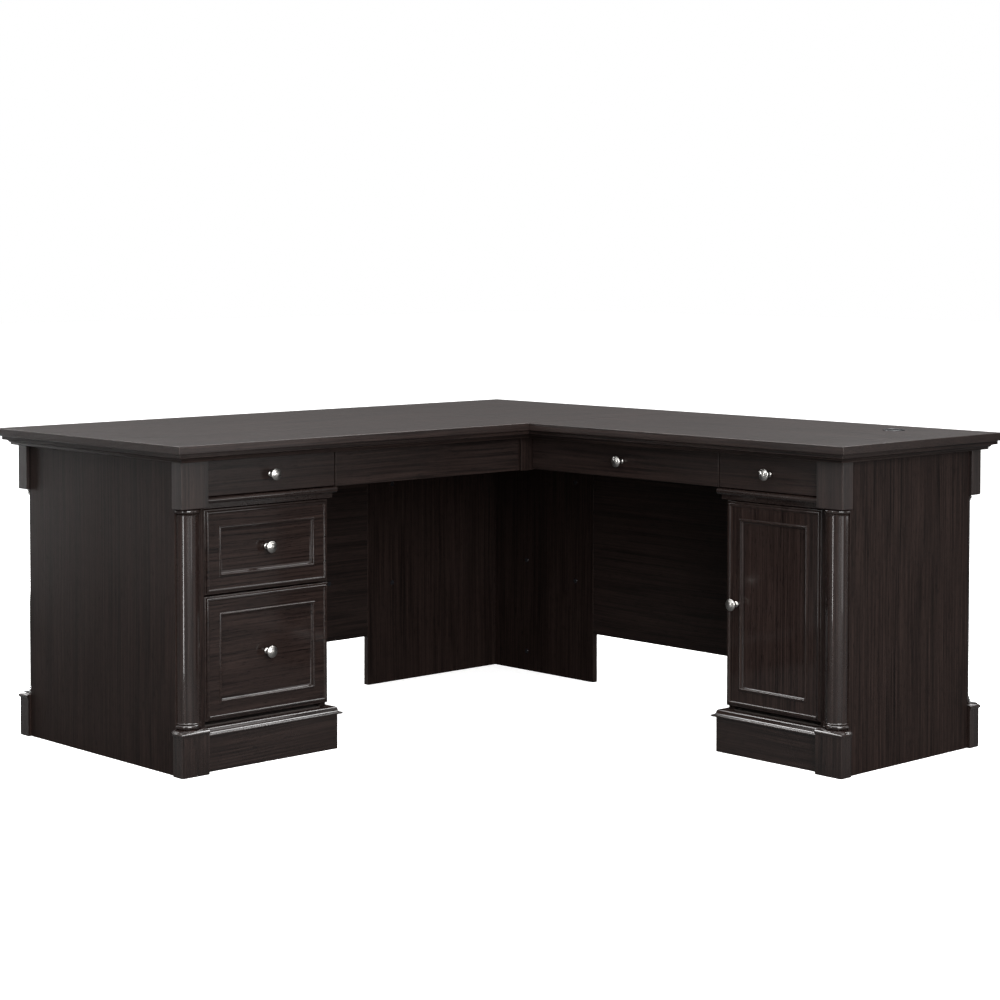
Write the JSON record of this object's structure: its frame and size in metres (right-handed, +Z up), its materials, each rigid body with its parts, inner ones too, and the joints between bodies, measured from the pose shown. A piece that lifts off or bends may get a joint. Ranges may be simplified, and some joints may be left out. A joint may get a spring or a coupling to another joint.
{
  "type": "corner desk",
  "caption": "L-shaped corner desk with drawers, a file drawer, a cabinet, a drop-front keyboard tray, corner columns and moulded edges.",
  "frame": {"origin": "on the floor, under the middle of the desk's bounding box", "axes": "+Z up; the main wing runs along X with its drawers facing -Y; the return wing runs along Y with its fronts facing -X; the desk's outside corner is at +X +Y"},
  "size_m": [1.668, 1.748, 0.7545],
  "materials": {
    "top_laminate": "semi-gloss dark laminate with fine straight grain",
    "espresso_wood": "satin espresso wood grain, glossy on the mouldings",
    "interior_board": "matt dark board",
    "brushed_nickel": "brushed satin nickel",
    "steel": "zinc-plated steel",
    "black_plastic": "moulded black plastic"
  },
  "bodies": {
    "carcase": {"back_cornice": "espresso_wood", "cabinet_shelf": "interior_board", "cable_grommet": "black_plastic", "corner_filler": "espresso_wood", "left_back_column": "espresso_wood", "left_back_frieze_block": "espresso_wood", "left_back_panel": "espresso_wood", "left_back_plinth_block": "espresso_wood", "left_base_board": "espresso_wood", "left_bead_rail": "espresso_wood", "left_bottom_panel": "interior_board", "left_end_panel": "espresso_wood", "left_front_column": "espresso_wood", "left_front_frieze_block": "espresso_wood", "left_front_plinth_block": "espresso_wood", "left_front_stile": "espresso_wood", "left_inner_panel": "espresso_wood", "main_apron": "espresso_wood", "main_end_cornice": "espresso_wood", "main_front_cornice": "espresso_wood", "main_leg_panel": "espresso_wood", "main_modesty_panel": "espresso_wood", "main_top": "top_laminate", "return_end_cornice": "espresso_wood", "return_front_cornice": "espresso_wood", "return_leg_panel": "espresso_wood", "return_modesty_panel": "espresso_wood", "return_top": "top_laminate", "right_back_column": "espresso_wood", "right_back_frieze_block": "espresso_wood", "right_back_panel": "espresso_wood", "right_back_plinth_block": "espresso_wood", "right_base_board": "espresso_wood", "right_bead_rail": "espresso_wood", "right_bottom_panel": "interior_board", "right_end_panel": "espresso_wood", "right_front_column": "espresso_wood", "right_front_frieze_block": "espresso_wood", "right_front_plinth_block": "espresso_wood", "right_front_stile": "espresso_wood", "right_inner_panel": "espresso_wood"},
    "left_top_drawer": {"left_top_drawer_front": "espresso_wood", "left_top_drawer_box": "interior_board", "left_top_drawer_knob": "brushed_nickel"},
    "left_middle_drawer": {"left_middle_drawer_front": "espresso_wood", "left_middle_drawer_box": "interior_board", "left_middle_drawer_knob": "brushed_nickel"},
    "left_file_drawer": {"left_file_drawer_front": "espresso_wood", "left_file_drawer_box": "interior_board", "left_file_drawer_knob": "brushed_nickel"},
    "right_top_drawer": {"right_top_drawer_front": "espresso_wood", "right_top_drawer_box": "interior_board", "right_top_drawer_knob": "brushed_nickel"},
    "keyboard_tray": {"keyboard_tray": "interior_board"},
    "keyboard_drop_front": {"keyboard_front": "espresso_wood", "keyboard_knob": "brushed_nickel"},
    "cabinet_door": {"cabinet_door": "espresso_wood", "cabinet_knob": "brushed_nickel", "upper_hinge": "steel", "lower_hinge": "steel"}
  },
  "joints": [
    {"name": "left_top_drawer_slide", "type": "slide", "parent": "carcase", "child": "left_top_drawer", "axis": [0, -1, 0], "range_m": [0, 0.4]},
    {"name": "left_middle_drawer_slide", "type": "slide", "parent": "carcase", "child": "left_middle_drawer", "axis": [0, -1, 0], "range_m": [0, 0.45]},
    {"name": "left_file_drawer_slide", "type": "slide", "parent": "carcase", "child": "left_file_drawer", "axis": [0, -1, 0], "range_m": [0, 0.45]},
    {"name": "right_top_drawer_slide", "type": "slide", "parent": "carcase", "child": "right_top_drawer", "axis": [-1, 0, 0], "range_m": [0, 0.27]},
    {"name": "keyboard_tray_slide", "type": "slide", "parent": "carcase", "child": "keyboard_tray", "axis": [-1, 0, 0], "range_m": [0, 0.24]},
    {"name": "keyboard_drop_front_hinge", "type": "hinge", "parent": "keyboard_tray", "child": "keyboard_drop_front", "pos_m": [0.3115, -0.1315, 0.632], "axis": [0, -1, 0], "range_deg": [0, 90]},
    {"name": "cabinet_door_hinge", "type": "hinge", "parent": "carcase", "child": "cabinet_door", "pos_m": [0.3225, -0.7385, 0.3525], "axis": [0, 0, 1], "range_deg": [0, 95]}
  ]
}
